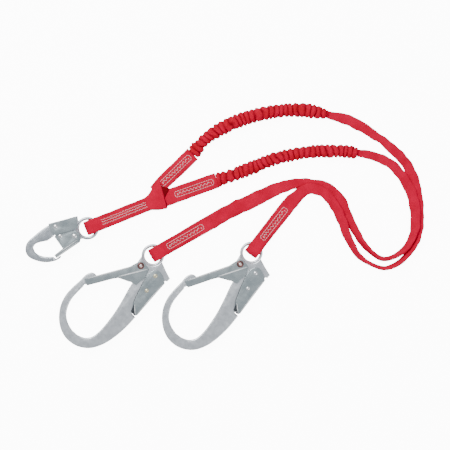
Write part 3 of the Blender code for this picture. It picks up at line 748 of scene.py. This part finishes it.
def bead_mesh(name, points, radius, sides=10):
    """A thin round bead through points given as x, y and height."""
    spots = [Vector(p) * MM for p in points]
    verts = []
    for i, spot in enumerate(spots):
        tangent = (spots[min(i + 1, len(spots) - 1)] - spots[max(i - 1, 0)]).normalized()
        side = UP.cross(tangent).normalized()
        high = tangent.cross(side)
        small = 0.45 if i in (0, len(spots) - 1) else 1.0
        for k in range(sides):
            a = 2 * math.pi * k / sides
            verts.append(spot + (side * math.cos(a) + high * math.sin(a)) * radius * small * MM)
    return ringed_mesh(name, verts, sides)


def along_gate(g, h):
    """A point g along the closed gate from its pivot and h outwards from its middle line."""
    turn = math.radians(R_GATE_DIRECTION)
    return (R_GATE_PIVOT[0] + g * math.cos(turn) + h * math.sin(turn),
            R_GATE_PIVOT[1] + g * math.sin(turn) - h * math.cos(turn))


def rebar_outline():
    """Round the eye, down the back of the spine, round the bow to the nose and back inside."""
    outline = arc((0, 0), EYE_STEP, 128, 282, 24)
    outline += [(1.2, -21), (-5.6, -35.5), (-11.6, -51), (-18.5, -50.4), (-20.5, -46.8)]
    outline += [(-40, -45.3), (-103.4, -40.4), (-104.3, -41.4), (-105, -49.5),
                (-106.6, -49.4)]
    bow = [(-106.6, -49.4), (-130, -48.5), (-154, -45), (-178, -38), (-198, -26), (-210, -10),
           (-215, 8), (-213.5, 26), (-206, 42), (-193, 56), (-175, 67), (-155, 71.8),
           (-135, 71.3)]
    outline += smooth_route(bow, 4)[1:]
    outline += smooth_route([along_gate(*p) for p in ((110, 4), (103, 8.6), (96, 11.2),
                                                      (89, 11.2), (83.5, 7), (82, 0),
                                                      (84, -6.4))], 2)
    outline += [along_gate(*p) for p in ((108, -6.6), (110, -9.2))]
    inside = [(-151, 59.2), (-168, 55.8), (-183, 47.6), (-192.5, 35), (-197.4, 21)]
    outline += smooth_route([along_gate(110, -9.2)] + inside, 4)[1:]
    outline += smooth_route([(-197.4, 9), (-193, -4), (-182, -13.4), (-164, -17), (-142, -16.8),
                             (-120, -15), (-96, -11), (-72, -6), (-50, -3)], 4)
    outline += [(-37, -1)]
    outline += arc(R_GATE_PIVOT, 9.0, 210, 110, 12)
    return outline


R_GATE = [(104.5, 3.8), (20, 3.8), (7, 7), (-3, 8), (-8.5, 3), (-12.5, -9.8), (-2, -23),
          (9, -27), (17, -31), (26, -23), (38, -14.5), (45, -9.8), (58, -8.8), (102.9, -9)]
R_GATE_SLOT = [(120, 20), (-40, 20), (-40, -50), (43, -50), (43, -7.5), (120, -7.5)]
R_LOCK_SLOT = [(0, R_BACK + 1.5), (0, 0), (-130, 0), (-130, R_BACK + 1.5)]


def lock_outline():
    outline = [(-29.6, -15.7)]
    outline += arc((-26.5, -30.0), 13.0, 78, -35, 20)
    outline += [(-22, -46.5), (-25, R_BACK), (-99, R_BACK), (-102.6, -46.8), (-101.2, -36)]
    outline += [(-91.6, -32.2), (-84.4, -28.8), (-63.5, -22.8), (-46.9, -18.7)]
    return outline


def frame_of(hook, mount):
    """The matrix of a hook's own frame at its eye's centre."""
    eye = eye_of(hook)[0]
    axis = MOUNTS[mount]["axis"]
    return Matrix.Translation(eye) @ Matrix.Rotation(math.atan2(axis[1], axis[0]), 4, "Z")


def dome(radius, low, high, shank):
    """A domed rivet's half profile, the same above and below."""
    top = [(0.05, high), (radius * 0.35, high - (high - low) * 0.1),
           (radius * 0.65, high - (high - low) * 0.33), (radius * 0.88, low + (high - low) * 0.35),
           (radius, low + 0.15), (radius, low), (shank, low)]
    return top + [(r, -z) for r, z in reversed(top)]


def build_rebar(letter):
    name = f"rebar_hook_{letter}"
    place = frame_of(name, f"rebar_{letter}_seat")
    gate_body, lock_body = f"{name}_gate_group", f"{name}_lock_group"

    ring = plate_mesh("ring", [ring_of((0, 0), EYE_RING, 72), ring_of((0, 0), EYE_HOLE, 64)],
                      RING_HALF, 2.4, 4)
    cuts = [(ring, "UNION")]
    for centre, radius in ((R_GATE_PIVOT, 4.35), (R_LOCK_PIVOT, 2.75), ((-54.7, -32.0), 4.2)):
        cuts.append((plate_mesh("hole", [ring_of(centre, radius, 24)], 12), "DIFFERENCE"))
    for centre, radius in ((R_GATE_PIVOT, 7.0), (R_LOCK_PIVOT, 6.0)):
        cuts.append((plate_mesh("seat", [ring_of(centre, radius, 24)], 4, middle=5.2),
                     "DIFFERENCE"))
    body = carved(f"{name}_forging", plate_mesh("base", [rebar_outline()], R_BODY_HALF, 2.1, 4),
                  cuts)
    show(f"{name}_forging", body, "forged", name, [f"{name}_body"], False, place)

    gate = [along_gate(g, h) for g, h in R_GATE]
    slot = [along_gate(g, h) for g, h in R_GATE_SLOT]
    block = plate_mesh("gate", [gate, ring_of(R_GATE_PIVOT, 4.35, 28)], R_GATE_OUTER, 0.45, 3)
    made = carved(f"{name}_gate_sheet", block,
                  [(plate_mesh("slot", [slot], R_GATE_INNER), "DIFFERENCE")])
    show(f"{name}_gate_sheet", made, "sheet", gate_body, [f"{name}_gate"], False,
         place)
    for side in (1, -1):
        height = (R_GATE_OUTER - 0.15) * side
        word = "upper" if side > 0 else "lower"
        # Painted highlight: white beads along the gate's rounded upper edge and along the crease
        # across its wing; the beads stand for the real bend and crease, their white is painted.
        bead = bead_mesh("bead", [(*along_gate(g, h), height) for g, h in
                                  ((98, 2.7), (70, 2.7), (40, 2.7), (14, 2.7))], 1.15)
        show(f"{name}_gate_edge_{word}", bead, "painted_highlight", gate_body, place=place)
        crease = bead_mesh("crease", [(*along_gate(g, h), height) for g, h in
                                      ((44, -8.2), (28, -8.6), (8, -9.0), (-10.5, -9.2))], 1.1)
        show(f"{name}_gate_crease_highlight_{word}", crease, "painted_highlight", gate_body, place=place)
        # Painted shadow: a near-black bead under the gate's lower edge and wing.
        under = bead_mesh("under", [(*along_gate(g, h), height - 0.5 * side) for g, h in
                                    ((102, -9.15), (80, -9.1), (58, -9.0), (45, -10.0),
                                     (38, -14.6), (27, -22.6))], 0.55)
        show(f"{name}_gate_under_shadow_{word}", under, "dark", gate_body, place=place)

    holes = [ring_of(R_LOCK_PIVOT, 2.75, 24), ring_of(R_LOCK_PIN, 2.55, 24)]
    block = plate_mesh("lock", [lock_outline()] + holes, R_LOCK_OUTER, 0.7, 3)
    made = carved(f"{name}_lock_sheet", block,
                  [(plate_mesh("slot", [R_LOCK_SLOT], R_LOCK_INNER), "DIFFERENCE")])
    show(f"{name}_lock_sheet", made, "sheet", lock_body, [f"{name}_lock"], False,
         place)
    for side in (1, -1):
        height = (R_LOCK_OUTER - 0.2) * side
        word = "upper" if side > 0 else "lower"
        # Painted highlight: a white bead along the lever's web bend.
        bead = bead_mesh("bead", [(-28, R_BACK + 1.6, height), (-60, R_BACK + 1.6, height),
                                  (-98, R_BACK + 1.6, height)], 1.0)
        show(f"{name}_lock_edge_highlight_{word}", bead, "painted_highlight", lock_body, place=place)
        # Painted shadow: a near-black bead under the lever's lower-left edge.
        under = bead_mesh("under", [(x, y, height - 0.9 * side) for x, y in
                                    ((-31, -16.2), (-46.9, -18.5), (-63.5, -22.6),
                                     (-84.4, -28.6), (-91.6, -32.0))], 0.6)
        show(f"{name}_lock_under_shadow_{word}", under, "dark", lock_body, place=place)
        # Painted shadow: a thin near-black sheet on the lever where its bent lower tab leaves a
        # shaded slit.
        tab = plate_mesh("tab", [[(-86.5, -31.4), (-88.4, -32.6), (-102.6, -46.6),
                                  (-103.2, -44.2), (-101.0, -35.9)]], 0.35, 0.12, 1,
                         middle=(R_LOCK_OUTER + 0.15) * side)
        tab.polygons.foreach_set("use_smooth", [False] * len(tab.polygons))
        show(f"{name}_lock_tab_shadow_{word}", tab, "dark", lock_body, smooth=False, place=place)
        # Painted highlight: a white bead along the right side of the slit at the lever's bent lower
        # tab.
        fold = bead_mesh("fold", [(-87.5, -33.2, height + 0.1), (-95, -40.2, height + 0.3),
                                  (-101.8, -47.2, height + 0.1)], 0.7)
        show(f"{name}_lock_fold_highlight_{word}", fold, "painted_highlight", lock_body, place=place)

    low, high = R_GATE_OUTER + 0.25, 8.5
    top = [(2.8, high - 0.5), (3.4, high), (4.6, high), (5.7, high - 0.35), (6.2, low + 0.25),
           (6.0, low), (4.0, low)]
    loop = top + [(r, -z) for r, z in reversed(top)]
    tube = turned_mesh("tube", loop, R_GATE_PIVOT)
    show(f"{name}_gate_rivet_tube", tube, "rust", name, [f"{name}_gate_rivet"],
         False, place)
    core = turned_mesh("core", dome(3.3, high - 1.2, high + 0.1, 2.7), R_GATE_PIVOT)
    show(f"{name}_gate_rivet_core", core, "pale", name, smooth=False, place=place)
    yellow = "brass" if letter == "a" else "rivet"
    for word, centre, radius, owner in (("lock_rivet", R_LOCK_PIVOT, 3.8, name),
                                        ("lock_pin", R_LOCK_PIN, 3.6, lock_body)):
        head = turned_mesh("head", dome(radius, R_LOCK_OUTER + 0.2, HOOK_MID, 2.3), centre)
        show(f"{name}_{word}_head", head, yellow, owner, [f"{name}_{word}"],
             False, place)


def snap_outline():
    outline = arc((0, 0), EYE_STEP, 232, 118, 20)
    outline += [(-9.6, 18.4), (-14, 21.3), (-62.4, 29.4), (-63.4, 31.2)]
    bow = [(-63.4, 31.2), (-77.3, 28.3), (-94.6, 23), (-107, 18.4), (-115, 11.5), (-119, 1),
           (-117, -8.5), (-110, -17), (-99, -25.5), (-87, -30.8), (-75, -32.8)]
    outline += smooth_route(bow, 3)[1:]
    outline += [(-66, -31.6), (-63, -29.6), (-63.4, -27.8), (-73.4, -30)]
    outline += smooth_route([(-76.4, -24.6), (-90.4, -18.6), (-99.5, -11.5), (-103.8, -4)], 3)
    outline += smooth_route([(-103.8, 4), (-100, 7.6), (-92.6, 9), (-75.2, 6.2)], 3)
    outline += smooth_route([(-62, 9.4), (-57, 14.5), (-50, 18.5), (-41, 18.5), (-37, 12)], 3)
    outline += arc(S_GATE_PIVOT, 9.0, 150, 285, 14)
    return outline


S_GATE = [(-72.8, -22.6), (-54.5, -17.4), (-60.2, 7.6), (-57, 10), (-44, 11.5), (-31, 7),
          (-21, 3.5), (-16.5, -4), (-18.5, -13), (-22.5, -17.9), (-71.6, -28.6)]
S_GATE_SLOT = [(-85, -30.1), (-5, -12.6), (-5, 40), (-85, 40)]
S_LOCK = [(-61.4, 33.4), (-9.3, 27.2), (-14.2, 7.4), (-27, 6.4), (-44, 8.6), (-57, 9.4),
          (-60.4, 11), (-62.2, 25)]
S_LOCK_SLOT = [(-75, 33.2), (5, 23.8), (5, 0), (-75, 0)]


def build_snap():
    name = "snap_hook"
    place = frame_of(name, "snap_seat")
    gate_body, lock_body = f"{name}_gate_group", f"{name}_lock_group"
    ring = plate_mesh("ring", [ring_of((0, 0), EYE_RING, 72), ring_of((0, 0), EYE_HOLE, 64)],
                      RING_HALF, 2.4, 4)
    cuts = [(ring, "UNION")]
    for centre, radius in ((S_GATE_PIVOT, 3.15), (S_LOCK_PIVOT, 2.75)):
        cuts.append((plate_mesh("hole", [ring_of(centre, radius, 24)], 12), "DIFFERENCE"))
    cuts.append((plate_mesh("seat", [ring_of(S_GATE_PIVOT, 6.4, 24)], 4, middle=4.8),
                 "DIFFERENCE"))
    body = carved(f"{name}_forging", plate_mesh("base", [snap_outline()], S_BODY_HALF, 2.2, 4),
                  cuts)
    show(f"{name}_forging", body, "snap", name, [f"{name}_body"], False, place)

    block = plate_mesh("gate", [S_GATE, ring_of(S_GATE_PIVOT, 3.15, 24),
                                ring_of(S_GATE_PIN, 2.35, 24)], S_GATE_OUTER, 0.4, 3)
    made = carved(f"{name}_gate_sheet", block,
                  [(plate_mesh("slot", [S_GATE_SLOT], S_GATE_INNER), "DIFFERENCE")])
    show(f"{name}_gate_sheet", made, "sheet", gate_body, [f"{name}_gate"], False,
         place)
    block = plate_mesh("lock", [S_LOCK, ring_of(S_LOCK_PIVOT, 2.75, 24)], S_LOCK_OUTER, 0.45, 3)
    made = carved(f"{name}_lock_sheet", block,
                  [(plate_mesh("slot", [S_LOCK_SLOT], S_LOCK_INNER), "DIFFERENCE")])
    show(f"{name}_lock_sheet", made, "sheet", lock_body, [f"{name}_lock"], False,
         place)
    for side in (1, -1):
        word = "upper" if side > 0 else "lower"
        height = (S_GATE_OUTER - 0.1) * side
        # Painted highlight: two white beads along the snap gate's edges.
        for i, lift in enumerate((1.0, 4.6)):
            bead = bead_mesh("bead", [(-71.2, -28.4 + lift, height), (-50, -23.4 + lift, height),
                                      (-24.5, -17.6 + lift, height)], 0.75)
            show(f"{name}_gate_edge_{i}_{word}", bead, "painted_highlight", gate_body, place=place)
    for word, centre, radius, low, rise, owner in (
            ("gate_rivet", S_GATE_PIVOT, 4.5, S_GATE_OUTER + 0.2, 1.7, name),
            ("gate_pin", S_GATE_PIN, 3.5, S_GATE_OUTER + 0.2, 1.1, gate_body),
            ("lock_rivet", S_LOCK_PIVOT, 3.8, S_LOCK_OUTER + 0.2, 1.7, name)):
        head = turned_mesh("head", dome(radius, low, low + rise, 2.0), centre)
        show(f"{name}_{word}_head", head, "rivet", owner, [f"{name}_{word}"],
             False, place)


build_rebar("a")
build_rebar("b")
build_snap()

dress([node for node in frame["nodes"] if node.endswith("_spring")], "spring")


# Floor and light

def build_floor():
    mesh = bpy.data.meshes.new("floor")
    low, size = -0.0004, 6.0
    mesh.from_pydata([(-size, -size, low), (size, -size, low), (size, size, low),
                      (-size, size, low)], [], [(0, 1, 2, 3)])
    floor = bpy.data.objects.new("floor", mesh)
    bpy.context.scene.collection.objects.link(floor)
    material, tree, shader = new_material("floor")
    shader.inputs["Base Color"].default_value = (0.93, 0.93, 0.93, 1)
    shader.inputs["Roughness"].default_value = 0.9
    shader.inputs["Emission Color"].default_value = (1, 1, 1, 1)
    seen = node_of(tree, "ShaderNodeLightPath")
    glow = math_node(tree, "MULTIPLY", seen.outputs["Is Camera Ray"], 11.0)
    tree.links.new(glow, shader.inputs["Emission Strength"])
    mesh.materials.append(material)


def soft_light(name, spot, aim, size, power):
    lamp = bpy.data.objects.new(name, bpy.data.lights.new(name, "AREA"))
    lamp.data.shape = "DISK"
    lamp.data.size = size
    lamp.data.energy = power
    lamp.location = spot
    lamp.rotation_euler = (Vector(aim) - Vector(spot)).to_track_quat("-Z", "Y").to_euler()
    bpy.context.scene.collection.objects.link(lamp)


build_floor()
soft_light("key", (-0.9, 1.3, 1.9), (0.05, 0, 0), 1.5, 50)
soft_light("fill", (1.5, -1.1, 1.6), (0.05, 0, 0), 1.6, 15)
world = bpy.data.worlds.new("studio")
world.use_nodes = True
world.node_tree.nodes["Background"].inputs["Color"].default_value = (0.93, 0.96, 1.0, 1)
world.node_tree.nodes["Background"].inputs["Strength"].default_value = 0.62
bpy.context.scene.world = world
